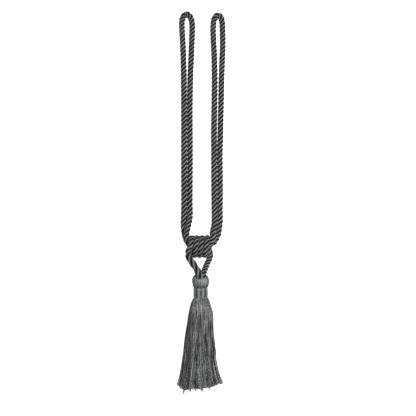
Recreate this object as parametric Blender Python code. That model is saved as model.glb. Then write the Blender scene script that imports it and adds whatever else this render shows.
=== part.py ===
"""A curtain tieback with one tassel, laid out face up on a level surface.

Units are metres, +Z is up and the surface is z = 0. The tie lies along Y, with its two
hook loops at +Y and the hem of its tassel at -Y. The origin is under the middle of its box.
"""

import math
import random

import bmesh
import bpy
from mathutils import Vector
from mathutils.geometry import delaunay_2d_cdt

# The rope: three plies laid up right-handed. Its section has a crown for each ply and a
# groove between each two.
PLIES = 3
ROPE_LAY = 0.01511
RINGS_PER_LAY = 8
PLY_START = math.radians(70)
GROOVE_SHARE = 0.70
RING_RADIUS = 0.0034
GRIPPED_RADIUS = 0.00315
GRIP_START_Y = 0.0
GRIP_LENGTH = 0.025
LEG_RADIUS = 0.00305
WRAP_RADIUS = 0.00292
ROUTE_STEPS = 12

# Dyed yarn, from the dark rope to the brighter satin of the tassel.
RING_COLOUR = (0.045, 0.046, 0.048)
HANGER_COLOUR = (0.050, 0.051, 0.053)
TASSEL_COLOUR = (0.170, 0.172, 0.176)
BINDING_COLOUR = (0.150, 0.152, 0.156)
ROPE_ROUGHNESS = 0.70
SATIN_ROUGHNESS = 0.45
CREASE_ANGLE = math.radians(50)

# The wraps: a barrel of turns round the two runs of the rope ring, its axis along X.
BARREL_X = -0.00199
BARREL_Y = -0.0534
BARREL_RADIUS = 0.01345
BARREL_HEIGHT = 0.01335
WRAP_PITCH = 0.0061
WRAP_TURNS = 3.5
FRONT_OF_BARREL = -0.25
POINTS_PER_TURN = 16
LEG_SWELL_START = 0.004
LEG_SWELL_LENGTH = 0.012
WRAP_CENTRE_RADIUS = BARREL_RADIUS - WRAP_RADIUS

# The tassel: its axis runs along -Y from the top of its head.
TASSEL_X = -0.0009
TASSEL_Z = 0.0092
HEAD_TOP_Y = -0.0869
HEAD_SIDES = 28
FOLD_DEPTH = 0.00018
NECK_RADIUS = 0.0070
NECK_END = 0.0275
BINDING_GAP = 0.0003

# The skirt: rows of strands, one above the other, that fan out from the end of the neck.
STRAND_FILL_WIDTH = 0.84
STRAND_FILL_HEIGHT = 0.80
TIP_SHARE = 0.55
HEM_SCATTER = 0.0016
STRAND_SHIFT = 0.25
STRAY_EVERY = 17
STRAY_LENGTH = 0.0048
CLUMPS = 5
CLUMP_PULL = 0.35
CLUMP_STAGGER = 1.9
ROOT_TOLERANCE = 1e-7
SEED = 7

# The rope ring's centre line, once round in four stretches. Where a stretch gives no
# height, the rope lies on the surface.
LYING_HEIGHT = 0.0030
LEFT_LOOP = (
    # x, y: up the outer run, round the hook loop and down the inner run
    (-0.0206, 0.0000),
    (-0.0206, 0.0600),
    (-0.0206, 0.1180),
    (-0.0209, 0.1500),
    (-0.0215, 0.1776),
    (-0.0223, 0.1960),
    (-0.0231, 0.2100),
    (-0.0230, 0.2185),
    (-0.0211, 0.2242),
    (-0.0172, 0.2267),
    (-0.0133, 0.2240),
    (-0.0112, 0.2185),
    (-0.0107, 0.2100),
    (-0.0111, 0.1960),
    (-0.0120, 0.1776),
    (-0.0135, 0.1500),
    (-0.0137, 0.1180),
    (-0.0137, 0.0600),
    (-0.0137, 0.0200),
)
INNER_CROSSING = (
    # x, y, z: from the left loop's inner run, over through the barrel, to the right's
    (-0.0137, -0.0040, 0.00310),
    (-0.0138, -0.0130, 0.00390),
    (-0.0143, -0.0190, 0.00570),
    (-0.0155, -0.0250, 0.00810),
    (-0.0167, -0.0311, 0.01070),
    (-0.0174, -0.0366, 0.01300),
    (-0.0177, -0.0414, 0.01490),
    (-0.0171, -0.0457, 0.01560),
    (-0.0151, -0.0491, 0.01600),
    (-0.0119, -0.0512, 0.01625),
    (-0.0073, -0.0522, 0.01645),
    (-0.0020, -0.0525, 0.01645),
    (0.0033, -0.0522, 0.01645),
    (0.0078, -0.0512, 0.01635),
    (0.0110, -0.0491, 0.01620),
    (0.0133, -0.0457, 0.01585),
    (0.0143, -0.0414, 0.01490),
    (0.0140, -0.0366, 0.01300),
    (0.0145, -0.0311, 0.01070),
    (0.0153, -0.0250, 0.00810),
    (0.0156, -0.0190, 0.00570),
    (0.0157, -0.0130, 0.00390),
    (0.0157, -0.0040, 0.00310),
)
RIGHT_LOOP = (
    # x, y: up the inner run, round the hook loop and down the outer run
    (0.0157, 0.0200),
    (0.0157, 0.0630),
    (0.0162, 0.1233),
    (0.0163, 0.1500),
    (0.0158, 0.1776),
    (0.0149, 0.1960),
    (0.0145, 0.2090),
    (0.0152, 0.2175),
    (0.0171, 0.2232),
    (0.0207, 0.2256),
    (0.0239, 0.2228),
    (0.0254, 0.2170),
    (0.0259, 0.2080),
    (0.0262, 0.1900),
    (0.0254, 0.1700),
    (0.0246, 0.1450),
    (0.0240, 0.1200),
    (0.0230, 0.0630),
    (0.0229, 0.0100),
)
OUTER_CROSSING = (
    # x, y, z: from the right loop's outer run, under the inner rope, to the left's
    (0.0229, -0.0120, 0.00310),
    (0.0231, -0.0190, 0.00340),
    (0.0232, -0.0260, 0.00430),
    (0.0223, -0.0330, 0.00590),
    (0.0206, -0.0385, 0.00750),
    (0.0183, -0.0439, 0.00875),
    (0.0150, -0.0485, 0.00945),
    (0.0093, -0.0519, 0.00980),
    (0.0040, -0.0541, 0.00990),
    (-0.0020, -0.0547, 0.00990),
    (-0.0080, -0.0541, 0.00990),
    (-0.0130, -0.0518, 0.00980),
    (-0.0164, -0.0480, 0.00945),
    (-0.0184, -0.0437, 0.00875),
    (-0.0197, -0.0385, 0.00750),
    (-0.0205, -0.0330, 0.00590),
    (-0.0209, -0.0260, 0.00430),
    (-0.0208, -0.0190, 0.00340),
    (-0.0207, -0.0120, 0.00310),
)

# Where a wall hook bears: the inner side of each loop's top is pressed flat.
HOOK_SEATS = (
    # x from, x to, y of the flat
    (-0.0215, -0.0127, 0.2248),
    (0.0163, 0.0251, 0.2238),
)

# The hanger cord's two legs. The left leg rises from the tassel's head to the front of the
# barrel. The right leg leaves the barrel's back and goes down to the head.
LEFT_LEG = (
    # x, y, z
    (-0.0017, -0.0910, 0.0125),
    (-0.0027, -0.0866, 0.0126),
    (-0.0056, -0.0804, 0.0142),
    (-0.0094, -0.0747, 0.0165),
    (-0.0126, -0.0696, 0.0190),
    (-0.0147, -0.0647, 0.0212),
    (-0.0151, -0.0597, 0.0230),
    (-0.0141, -0.0560, 0.0238),
)
RIGHT_LEG = (
    # x, y, z
    (0.0104, -0.0585, 0.00290),
    (0.0113, -0.0635, 0.00300),
    (0.0105, -0.0684, 0.00320),
    (0.0086, -0.0730, 0.00370),
    (0.0062, -0.0777, 0.00470),
    (0.0038, -0.0820, 0.00580),
    (0.0013, -0.0866, 0.00640),
    (0.0001, -0.0910, 0.00610),
)

# The head and the neck, from the floor of the head's hollow to the end of the neck.
# along: distance from the top of the head. wide, deep: half sizes in X and Z. fold: share
# of the full depth of the yarn's folds.
HEAD_RINGS = (
    # along, wide, deep, fold
    (0.0054, 0.0052, 0.0069, 0.0),
    (0.0028, 0.0060, 0.0071, 0.0),
    (0.0006, 0.0067, 0.0073, 0.2),
    (0.0000, 0.0070, 0.0075, 0.4),
    (0.0004, 0.0076, 0.0080, 0.7),
    (0.0015, 0.0084, 0.0087, 1.0),
    (0.0033, 0.0094, 0.0095, 1.0),
    (0.0060, 0.0100, 0.0100, 1.0),
    (0.0090, 0.0099, 0.0099, 1.0),
    (0.0115, 0.0095, 0.0095, 1.0),
    (0.0134, 0.0087, 0.0087, 1.0),
    (0.0148, 0.0078, 0.0078, 0.6),
    (0.0155, NECK_RADIUS, NECK_RADIUS, 0.0),
    (NECK_END, NECK_RADIUS, NECK_RADIUS, 0.0),
)

# The binding round the neck: distance from the top of the head, and radius.
BINDING_INNER = NECK_RADIUS + BINDING_GAP
BINDING_RINGS = (
    # along, radius
    (0.01625, BINDING_INNER),
    (0.01615, 0.0077),
    (0.01670, 0.0080),
    (0.02680, 0.0080),
    (0.02740, 0.0077),
    (0.02730, BINDING_INNER),
)

# The skirt's outline, from the end of the neck to the hem. along: share of a strand's
# length. half: half width. middle: X from the tassel's axis. base: height of the lowest
# row. height: of the whole skirt. round: 1 for a round section, 0 for one that lies flat.
SKIRT_STATIONS = (
    # along, half, middle, base, height, round
    (0.000, 0.0067, 0.0000, 0.0032, 0.0120, 1.0),
    (0.036, 0.0098, 0.0001, 0.0007, 0.0175, 0.9),
    (0.100, 0.0120, 0.0000, 0.0000, 0.0188, 0.6),
    (0.220, 0.0146, -0.0002, 0.0000, 0.0182, 0.4),
    (0.550, 0.0185, -0.0012, 0.0000, 0.0140, 0.1),
    (1.000, 0.0272, -0.0008, 0.0000, 0.0088, 0.0),
)

# The skirt's rows from the lowest up. strands: how many. round, flat: share of the half
# width that the row takes where the section is round, and where it lies flat.
SKIRT_ROWS = (
    # strands, round, flat
    (16, 0.49, 0.90),
    (22, 0.79, 1.00),
    (24, 0.93, 0.98),
    (24, 0.99, 0.92),
    (23, 0.95, 0.83),
    (20, 0.83, 0.70),
    (14, 0.56, 0.52),
)

# Length of the skirt across its width: place from -1 at the left edge to 1 at the right.
HEM_LINE = (
    # place, length
    (-1.0, 0.1045),
    (-0.8, 0.1090),
    (-0.3, 0.1105),
    (0.3, 0.1100),
    (0.7, 0.1075),
    (1.0, 0.1035),
)


def table_value(table, key, column):
    """Read a column of a table at a key between two of its rows."""
    for low, high in zip(table, table[1:]):
        if key <= high[0]:
            share = (key - low[0]) / (high[0] - low[0])
            return low[column] + (high[column] - low[column]) * share
    return table[-1][column]


def smooth_curve(route, closed):
    """Points on the centripetal Catmull-Rom curve through a route."""
    points = [Vector(p) for p in route]
    if closed:
        points = [points[-1]] + points + points[:2]
    else:
        points = [2 * points[0] - points[1]] + points + [2 * points[-1] - points[-2]]
    curve = []
    for p0, p1, p2, p3 in zip(points, points[1:], points[2:], points[3:]):
        t1 = math.sqrt((p1 - p0).length)
        t2 = t1 + math.sqrt((p2 - p1).length)
        t3 = t2 + math.sqrt((p3 - p2).length)
        for step in range(ROUTE_STEPS):
            t = t1 + (t2 - t1) * step / ROUTE_STEPS
            a1 = p0 * ((t1 - t) / t1) + p1 * (t / t1)
            a2 = p1 * ((t2 - t) / (t2 - t1)) + p2 * ((t - t1) / (t2 - t1))
            a3 = p2 * ((t3 - t) / (t3 - t2)) + p3 * ((t - t2) / (t3 - t2))
            b1 = a1 * ((t2 - t) / t2) + a2 * (t / t2)
            b2 = a2 * ((t3 - t) / (t3 - t1)) + a3 * ((t - t1) / (t3 - t1))
            curve.append(b1 * ((t2 - t) / (t2 - t1)) + b2 * ((t - t1) / (t2 - t1)))
    curve.append(curve[0].copy() if closed else points[-2].copy())
    return curve


def curve_length(curve):
    """Length of a line of points."""
    return sum((b - a).length for a, b in zip(curve, curve[1:]))


def evenly_spaced(curve, count):
    """A line of points cut into count equal steps, with both its ends."""
    step = curve_length(curve) / count
    spaced = [curve[0].copy()]
    gone = 0.0
    for a, b in zip(curve, curve[1:]):
        span = (b - a).length
        while len(spaced) < count and gone + span >= step * len(spaced):
            spaced.append(a.lerp(b, (step * len(spaced) - gone) / span))
        gone += span
    spaced.append(curve[-1].copy())
    return spaced


def carried_frames(centres, closed):
    """The direction and a side vector at each centre, the side carried without twist."""
    count = len(centres)
    directions = []
    for i in range(count):
        before = centres[i - 1] if closed or i > 0 else centres[i]
        after = centres[(i + 1) % count] if closed or i < count - 1 else centres[i]
        directions.append((after - before).normalized())
    side = directions[0].orthogonal().normalized()
    sides = [side]
    for direction in directions[1:]:
        side = (side - direction * side.dot(direction)).normalized()
        sides.append(side)
    return directions, sides


def closing_angle(directions, sides):
    """Angle about the first direction from the first side to the side carried round."""
    first = directions[0]
    carried = (sides[-1] - first * sides[-1].dot(first)).normalized()
    across = first.cross(sides[0])
    return math.atan2(carried.dot(across), carried.dot(sides[0]))


def rope_rings(centres, radii, closed):
    """Rings of points on a twisted rope, crowns and grooves in turn, and the closing shift.

    A closed rope's last ring lines up with its first ring turned on by the shift, because
    its plies have wound round it a number of times that is not a whole one.
    """
    directions, sides = carried_frames(centres, closed)
    line = centres + centres[:1] if closed else centres
    turn = curve_length(line) / ROPE_LAY * math.tau
    ply_step = math.tau / PLIES
    plies_passed = round(turn / ply_step)
    if closed:
        turn = plies_passed * ply_step - closing_angle(directions, sides)
    points = 2 * PLIES
    rings = []
    for i, centre in enumerate(centres):
        across = directions[i].cross(sides[i])
        twist = PLY_START + turn * i / (len(line) - 1)
        ring = []
        for j in range(points):
            angle = twist + math.tau * j / points
            reach = radii[i] * (1.0 if j % 2 == 0 else GROOVE_SHARE)
            ring.append(centre + (sides[i] * math.cos(angle) + across * math.sin(angle)) * reach)
        rings.append(ring)
    return rings, 2 * plies_passed % points


def pressed(point, centre):
    """Press a rope's point flat where the rope lies on the surface or bears on a hook."""
    point.z = max(point.z, 0.0)
    for x_from, x_to, seat in HOOK_SEATS:
        if x_from < centre.x < x_to and centre.y > seat:
            point.y = max(point.y, seat)
    return point


def wall_between(bm, lower, upper):
    """Triangles between two rings of vertices."""
    count = len(lower)
    for i in range(count):
        j = (i + 1) % count
        bm.faces.new((lower[i], lower[j], upper[i]))
        bm.faces.new((lower[j], upper[j], upper[i]))


def rope_object(name, curve, radius_at, closed, material):
    """A solid twisted rope along a curve, joined end to end or cut flat at each end."""
    count = round(curve_length(curve) / ROPE_LAY * RINGS_PER_LAY)
    centres = evenly_spaced(curve, count)
    if closed:
        centres.pop()
    rings, shift = rope_rings(centres, [radius_at(c) for c in centres], closed)
    bm = bmesh.new()
    loops = [[bm.verts.new(pressed(p, c)) for p in ring] for ring, c in zip(rings, centres)]
    if closed:
        loops.append(loops[0][shift:] + loops[0][:shift])
    for lower, upper in zip(loops, loops[1:]):
        wall_between(bm, lower, upper)
    if not closed:
        bm.faces.new(reversed(loops[0]))
        bm.faces.new(loops[-1])
    return finished_object(name, bm, material)


def finished_object(name, bm, material):
    """Turn a bmesh into a named object with its own material."""
    bmesh.ops.triangulate(bm, faces=bm.faces[:])
    mesh = bpy.data.meshes.new(name)
    bm.to_mesh(mesh)
    bm.free()
    mesh.shade_smooth()
    mesh.set_sharp_from_angle(angle=CREASE_ANGLE)
    mesh.materials.append(material)
    made = bpy.data.objects.new(name, mesh)
    bpy.context.collection.objects.link(made)
    return made


def yarn_material(name, colour, roughness):
    """A plain dyed yarn."""
    material = bpy.data.materials.new(name)
    material.use_nodes = True
    shader = material.node_tree.nodes["Principled BSDF"]
    shader.inputs["Base Color"].default_value = (*colour, 1.0)
    shader.inputs["Roughness"].default_value = roughness
    shader.inputs["Metallic"].default_value = 0.0
    return material


def ring_radius(centre):
    """The rope ring is gripped a little thinner where it goes up into the barrel."""
    share = (GRIP_START_Y - centre.y) / GRIP_LENGTH
    return RING_RADIUS + (GRIPPED_RADIUS - RING_RADIUS) * min(1.0, max(0.0, share))


def make_rope_ring():
    """The endless rope: two hook loops whose four runs meet in the barrel of wraps."""
    left = tuple((x, y, LYING_HEIGHT) for x, y in LEFT_LOOP)
    right = tuple((x, y, LYING_HEIGHT) for x, y in RIGHT_LOOP)
    curve = smooth_curve(left + INNER_CROSSING + right + OUTER_CROSSING, closed=True)
    material = yarn_material("rope yarn", RING_COLOUR, ROPE_ROUGHNESS)
    return rope_object("rope_ring", curve, ring_radius, True, material)


def barrel_point(turns):
    """A point on the wraps' centre line, in turns after the first crest at +Y."""
    angle = -math.tau * turns
    crests = WRAP_TURNS - 0.5
    x = BARREL_X + WRAP_PITCH * (turns - crests / 2)
    y = BARREL_Y + WRAP_CENTRE_RADIUS * math.cos(angle)
    z = BARREL_HEIGHT + WRAP_CENTRE_RADIUS * math.sin(angle)
    return (x, y, z)


def hanger_radius(centre):
    """The hanger cord is pressed a little thinner in the wraps than in its legs."""
    share = (BARREL_Y - LEG_SWELL_START - centre.y) / LEG_SWELL_LENGTH
    return WRAP_RADIUS + (LEG_RADIUS - WRAP_RADIUS) * min(1.0, max(0.0, share))


def make_hanger_cord():
    """The cord that hangs the tassel: a left leg, the wraps of the barrel and a right leg."""
    steps = round(WRAP_TURNS * POINTS_PER_TURN)
    wraps = tuple(barrel_point(FRONT_OF_BARREL + WRAP_TURNS * i / steps) for i in range(steps + 1))
    curve = smooth_curve(LEFT_LEG + wraps + RIGHT_LEG, closed=False)
    material = yarn_material("cord yarn", HANGER_COLOUR, ROPE_ROUGHNESS)
    return rope_object("hanger_cord", curve, hanger_radius, False, material)


def round_ring(bm, along, wide, deep, fold):
    """A ring of vertices round the tassel's axis, with the yarn's folds as flutes."""
    ring = []
    for i in range(HEAD_SIDES):
        angle = math.tau * i / HEAD_SIDES
        flute = FOLD_DEPTH * fold * (1.0 if i % 2 else -1.0)
        x = TASSEL_X + (wide + flute) * math.cos(angle)
        z = TASSEL_Z + (deep + flute) * math.sin(angle)
        ring.append(bm.verts.new((x, HEAD_TOP_Y - along, max(z, 0.0))))
    return ring


def strand_places(row, station, shifts):
    """X of each strand of a row at a station, drawn a little together in clumps."""
    count, round_share, flat_share = SKIRT_ROWS[row]
    along, half, middle, _, _, roundness = station
    reach = half * (flat_share + (round_share - flat_share) * roundness)
    pull = CLUMP_PULL * along
    places = []
    for i in range(count):
        u = (2 * i + 1) / count - 1 + shifts[i] / count
        wave = math.sin(math.pi * CLUMPS * u + CLUMP_STAGGER * row)
        u += pull * wave / (math.pi * CLUMPS)
        places.append(TASSEL_X + middle + reach * u)
    return places


def strand_sections(row, rng):
    """For each strand of a row, its triangular section at every station."""
    count = SKIRT_ROWS[row][0]
    shifts = [rng.uniform(-STRAND_SHIFT, STRAND_SHIFT) for _ in range(count)]
    scatter = [rng.uniform(-HEM_SCATTER, HEM_SCATTER) for _ in range(count)]
    strays = [rng.randrange(STRAY_EVERY) == 0 for _ in range(count)]
    strands = [[] for _ in range(count)]
    for station in SKIRT_STATIONS:
        along, _, _, base, height, _ = station
        places = strand_places(row, station, shifts)
        step = height / len(SKIRT_ROWS)
        floor = base + step * row
        for i, x in enumerate(places):
            gaps = [abs(x - places[k]) for k in (i - 1, i + 1) if 0 <= k < count]
            width = STRAND_FILL_WIDTH * min(gaps)
            tall = STRAND_FILL_HEIGHT * step
            if along == 1.0:
                width *= TIP_SHARE
                tall *= TIP_SHARE
            place = (2 * i + 1) / count - 1
            length = table_value(HEM_LINE, place, 1) + scatter[i]
            if strays[i]:
                length += STRAY_LENGTH
            y = HEAD_TOP_Y - NECK_END - length * along
            strands[i].append(
                (Vector((x - width / 2, y, floor)), Vector((x + width / 2, y, floor)),
                 Vector((x, y, floor + tall))))
    return strands


def cap_round_roots(bm, rim, roots):
    """Close the neck's end round the roots of the strands."""
    flat = [(v.co.x, v.co.z) for v in rim]
    flat += [(v.co.x, v.co.z) for root in roots for v in root]
    sides = len(rim)
    edges = [(i, (i + 1) % sides) for i in range(sides)]
    for r in range(len(roots)):
        first = sides + 3 * r
        edges += [(first, first + 1), (first + 1, first + 2), (first + 2, first)]
    inside_edges = 1
    cut = delaunay_2d_cdt([Vector(p) for p in flat], edges, [], inside_edges, ROOT_TOLERANCE)
    known = list(rim) + [v for root in roots for v in root]
    owners = [None] * sides + [r for r in range(len(roots)) for _ in range(3)]
    for face in cut[2]:
        ids = [cut[3][k][0] for k in face]
        owner = {owners[i] for i in ids}
        if len(owner) == 1 and None not in owner:
            continue
        bm.faces.new([known[i] for i in ids])


def make_tassel():
    """The tassel: a folded head, its neck, and strands whose roots are fused at the neck."""
    rng = random.Random(SEED)
    bm = bmesh.new()
    rings = [round_ring(bm, *row) for row in HEAD_RINGS]
    middle = bm.verts.new((TASSEL_X, HEAD_TOP_Y - HEAD_RINGS[0][0], TASSEL_Z))
    first = rings[0]
    for i in range(HEAD_SIDES):
        bm.faces.new((middle, first[(i + 1) % HEAD_SIDES], first[i]))
    for lower, upper in zip(rings, rings[1:]):
        wall_between(bm, lower, upper)
    roots = []
    for row in range(len(SKIRT_ROWS)):
        for sections in strand_sections(row, rng):
            loops = [[bm.verts.new(p) for p in section] for section in sections]
            for lower, upper in zip(loops, loops[1:]):
                wall_between(bm, lower, upper)
            bm.faces.new(loops[-1])
            roots.append(loops[0])
    cap_round_roots(bm, rings[-1], roots)
    material = yarn_material("tassel yarn", TASSEL_COLOUR, SATIN_ROUGHNESS)
    return finished_object("tassel", bm, material)


def make_neck_binding():
    """The thread wound round the neck, as one ring."""
    bm = bmesh.new()
    rings = [round_ring(bm, along, radius, radius, 0.0) for along, radius in BINDING_RINGS]
    for lower, upper in zip(rings, rings[1:] + rings[:1]):
        wall_between(bm, lower, upper)
    material = yarn_material("binding thread", BINDING_COLOUR, SATIN_ROUGHNESS)
    return finished_object("neck_binding", bm, material)


for old in list(bpy.data.objects):
    bpy.data.objects.remove(old)

make_rope_ring()
make_hanger_cord()
make_tassel()
make_neck_binding()
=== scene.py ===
"""A curtain tieback with one tassel, laid face up on a pale surface and seen from above.

Metres, +Z up, the surface at z = 0. The hook loops are at +Y and the tassel's hem at -Y.
The sections follow the tie as it is put together: the rope ring, the hanger cord wound round
it, then the tassel's core, head, neck binding and skirt.
"""

import math

import bmesh
import bpy
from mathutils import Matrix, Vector


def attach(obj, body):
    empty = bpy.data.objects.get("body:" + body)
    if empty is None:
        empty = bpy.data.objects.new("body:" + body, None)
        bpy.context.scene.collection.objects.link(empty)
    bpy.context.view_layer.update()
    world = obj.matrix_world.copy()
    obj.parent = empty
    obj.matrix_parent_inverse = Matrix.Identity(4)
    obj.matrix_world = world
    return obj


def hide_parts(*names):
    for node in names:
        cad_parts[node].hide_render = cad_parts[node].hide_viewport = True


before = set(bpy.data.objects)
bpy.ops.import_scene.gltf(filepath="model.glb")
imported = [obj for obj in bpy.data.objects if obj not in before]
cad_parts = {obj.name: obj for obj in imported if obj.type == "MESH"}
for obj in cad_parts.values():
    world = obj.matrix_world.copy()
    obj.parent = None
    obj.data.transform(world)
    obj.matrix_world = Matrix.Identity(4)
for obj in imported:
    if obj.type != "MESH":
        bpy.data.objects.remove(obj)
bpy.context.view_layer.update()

# ---- The view. The camera looks straight down at the tie through a long lens. The tie's
# origin falls on ORIGIN_PIXEL of the 416-pixel picture, and a pixel is PIXEL wide there.
PICTURE = 416
PIXEL = 0.0012064
ORIGIN_PIXEL = (201.2, 202.2)
LENS = 100.0
SENSOR = 36.0
ROPE_MIDDLE = 0.004

camera = bpy.data.objects.new("camera", bpy.data.cameras.new("camera"))
camera.data.lens = LENS
camera.data.sensor_width = SENSOR
camera.location = (
    (PICTURE / 2 - ORIGIN_PIXEL[0]) * PIXEL,
    (ORIGIN_PIXEL[1] - PICTURE / 2) * PIXEL,
    PICTURE * PIXEL * LENS / SENSOR + ROPE_MIDDLE,
)
bpy.context.collection.objects.link(camera)
bpy.context.scene.camera = camera

# ---- The rope ring: one endless rope of four plies of charcoal yarn, laid up
# right-handed. It makes both hook loops, and crosses twice inside the barrel of wraps.
ROPE_RADIUS = 0.00375
BIGHT_SWELL = 0.07
BIGHT_REACH = 0.012
ARM_SWELL = 0.06
ARM_SWELL_Y = -0.024
ARM_SWELL_REACH = 0.020
TOP_LAY = 0.0184
BARREL_LAY = 0.0220
LYING_HEIGHT = 0.0030
LEFT_LOOP = (
    # x, y: up the outer run, round the hook loop and down the inner run
    (-0.0206, 0.0000), (-0.0207, 0.0600), (-0.0207, 0.1180), (-0.0210, 0.1500),
    (-0.0215, 0.1776), (-0.0223, 0.1960), (-0.0231, 0.2100), (-0.0230, 0.2185),
    (-0.0211, 0.2242), (-0.0172, 0.2267), (-0.0133, 0.2240), (-0.0112, 0.2185),
    (-0.0107, 0.2100), (-0.0111, 0.1960), (-0.0118, 0.1776), (-0.0130, 0.1500),
    (-0.0135, 0.1180), (-0.0134, 0.0600), (-0.0135, 0.0200),
)
INNER_CROSSING = (
    # x, y, z: from the left loop's inner run, over through the barrel, to the right's
    (-0.0136, -0.0040, 0.00310), (-0.0134, -0.0130, 0.00390), (-0.0137, -0.0190, 0.00570),
    (-0.0148, -0.0250, 0.00810), (-0.0161, -0.0311, 0.01070), (-0.0171, -0.0366, 0.01300),
    (-0.0177, -0.0414, 0.01490), (-0.0171, -0.0457, 0.01560), (-0.0151, -0.0491, 0.01600),
    (-0.0119, -0.0512, 0.01625), (-0.0073, -0.0522, 0.01645), (-0.0020, -0.0525, 0.01645),
    (0.0033, -0.0522, 0.01645), (0.0078, -0.0512, 0.01635), (0.0110, -0.0491, 0.01620),
    (0.0133, -0.0457, 0.01585), (0.0143, -0.0414, 0.01490), (0.0140, -0.0366, 0.01300),
    (0.0153, -0.0311, 0.01070), (0.0162, -0.0250, 0.00810), (0.0164, -0.0190, 0.00570),
    (0.0163, -0.0130, 0.00390), (0.0160, -0.0040, 0.00310),
)
RIGHT_LOOP = (
    # x, y: up the inner run, round the hook loop and down the outer run
    (0.0157, 0.0200), (0.0156, 0.0560), (0.0155, 0.0880), (0.0160, 0.1233), (0.0163, 0.1500),
    (0.0158, 0.1776), (0.0149, 0.1960), (0.0145, 0.2090), (0.0152, 0.2175),
    (0.0171, 0.2232), (0.0207, 0.2256), (0.0239, 0.2228), (0.0254, 0.2170),
    (0.0259, 0.2080), (0.0262, 0.1900), (0.0254, 0.1700), (0.0246, 0.1450),
    (0.0241, 0.1200), (0.0234, 0.0880), (0.0227, 0.0560), (0.0229, 0.0300), (0.0229, 0.0100),
)
OUTER_CROSSING = (
    # x, y, z: from the right loop's outer run, under the inner rope, to the left's
    (0.0227, -0.0120, 0.00310), (0.0227, -0.0190, 0.00340), (0.0225, -0.0260, 0.00430),
    (0.0216, -0.0330, 0.00590), (0.0206, -0.0385, 0.00750), (0.0183, -0.0439, 0.00875),
    (0.0150, -0.0485, 0.00945), (0.0093, -0.0519, 0.00980), (0.0040, -0.0541, 0.00990),
    (-0.0020, -0.0547, 0.00990), (-0.0080, -0.0541, 0.00990), (-0.0130, -0.0518, 0.00980),
    (-0.0164, -0.0480, 0.00945), (-0.0184, -0.0437, 0.00875), (-0.0197, -0.0385, 0.00750),
    (-0.0205, -0.0330, 0.00590), (-0.0209, -0.0260, 0.00430), (-0.0208, -0.0190, 0.00340),
    (-0.0207, -0.0120, 0.00310),
)
ROUTE_STEPS = 12
RING_OVERLAP = 5
RING_SPACING = 0.00068
PLIES = 4
PLY_POINTS = 10
GROOVE_DEPTH = 0.38
CROWN_BREADTH = 2.5
SEAM_DISTANCE = 1e-6
CREASE_ANGLE = math.radians(55)
YARNS_IN_PLY = 4
YARN_SLANT = 16.0
YARN_RELIEF = 0.5
FIBRE_RELIEF = 0.7
FIBRE_DEPTH = 0.0002
# Most of a noise's values lie in its span. The two shines are what the span is spread over.
NOISE_SPAN = (0.3, 0.7)
FIBRE_SHINE = (0.5, 1.0)
PATCH_SHINE = (0.75, 1.1)
PATCH_SCALE = 90.0
YARN_SHINE = 0.8
LEAST_SHINE = 0.6
CROWN_SHARPNESS = 5.0
GROOVE_ROUGHNESS = 0.8
CROWN_ROUGHNESS = 0.42
ROPE_SPECULAR = 0.14
ROPE_BUMP = 0.7
# Painted shade: the near-black colour of the grooves between the plies.
PAINTED_GROOVE_SHADE = (0.002, 0.002, 0.0022)
ROPE_COLOUR = (0.196, 0.197, 0.201)


def smooth_route(route, closed):
    """Points on the centripetal Catmull-Rom curve through a route."""
    points = [Vector(p) for p in route]
    if closed:
        points = [points[-1]] + points + points[:2]
    else:
        points = [2 * points[0] - points[1]] + points + [2 * points[-1] - points[-2]]
    curve = []
    for p0, p1, p2, p3 in zip(points, points[1:], points[2:], points[3:]):
        t1 = math.sqrt((p1 - p0).length)
        t2 = t1 + math.sqrt((p2 - p1).length)
        t3 = t2 + math.sqrt((p3 - p2).length)
        for step in range(ROUTE_STEPS):
            t = t1 + (t2 - t1) * step / ROUTE_STEPS
            a1 = p0 * ((t1 - t) / t1) + p1 * (t / t1)
            a2 = p1 * ((t2 - t) / (t2 - t1)) + p2 * ((t - t1) / (t2 - t1))
            a3 = p2 * ((t3 - t) / (t3 - t2)) + p3 * ((t - t2) / (t3 - t2))
            b1 = a1 * ((t2 - t) / t2) + a2 * (t / t2)
            b2 = a2 * ((t3 - t) / (t3 - t1)) + a3 * ((t - t1) / (t3 - t1))
            curve.append(b1 * ((t2 - t) / (t2 - t1)) + b2 * ((t - t1) / (t2 - t1)))
    if not closed:
        curve.append(points[-2].copy())
    return curve


def guide(name, points, radii=None, lays=None):
    """A curve object to follow or sweep, with a radius at each point and a lay that twists it."""
    curve = bpy.data.curves.new(name, "CURVE")
    curve.dimensions = "3D"
    spline = curve.splines.new("POLY")
    spline.points.add(len(points) - 1)
    turns = [0.0]
    for a, b, lay in zip(points, points[1:], lays or []):
        turns.append(turns[-1] + (b - a).length / lay)
    for i, (x, y, z) in enumerate(points):
        spline.points[i].co = (x, y, z, 1.0)
        if radii:
            spline.points[i].radius = radii[i]
        if lays:
            # A curve holds 60 turns each way, so the count is nought half-way along.
            spline.points[i].tilt = (turns[i] - turns[-1] / 2) * math.tau
    made = bpy.data.objects.new(name, curve)
    bpy.context.collection.objects.link(made)
    return made


def add(tree, kind, inputs=None, out=0, **settings):
    """Put a node in a tree, give its inputs values or links, and return one of its outputs."""
    made = tree.nodes.new(kind)
    for setting, value in settings.items():
        setattr(made, setting, value)
    for socket, value in (inputs or {}).items():
        if isinstance(value, bpy.types.NodeSocket):
            tree.links.new(value, made.inputs[socket])
        else:
            made.inputs[socket].default_value = value
    return made.outputs[out]


def calc(tree, operation, *values):
    """A Math node's result."""
    return add(tree, "ShaderNodeMath", dict(enumerate(values)), operation=operation)


def joined(tree, x, y, z=0.0):
    """A vector made from its three parts."""
    return add(tree, "ShaderNodeCombineXYZ", {"X": x, "Y": y, "Z": z})


def split(tree, vector):
    """The three parts of a vector."""
    node = tree.nodes.new("ShaderNodeSeparateXYZ")
    tree.links.new(vector, node.inputs["Vector"])
    return node.outputs


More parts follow.
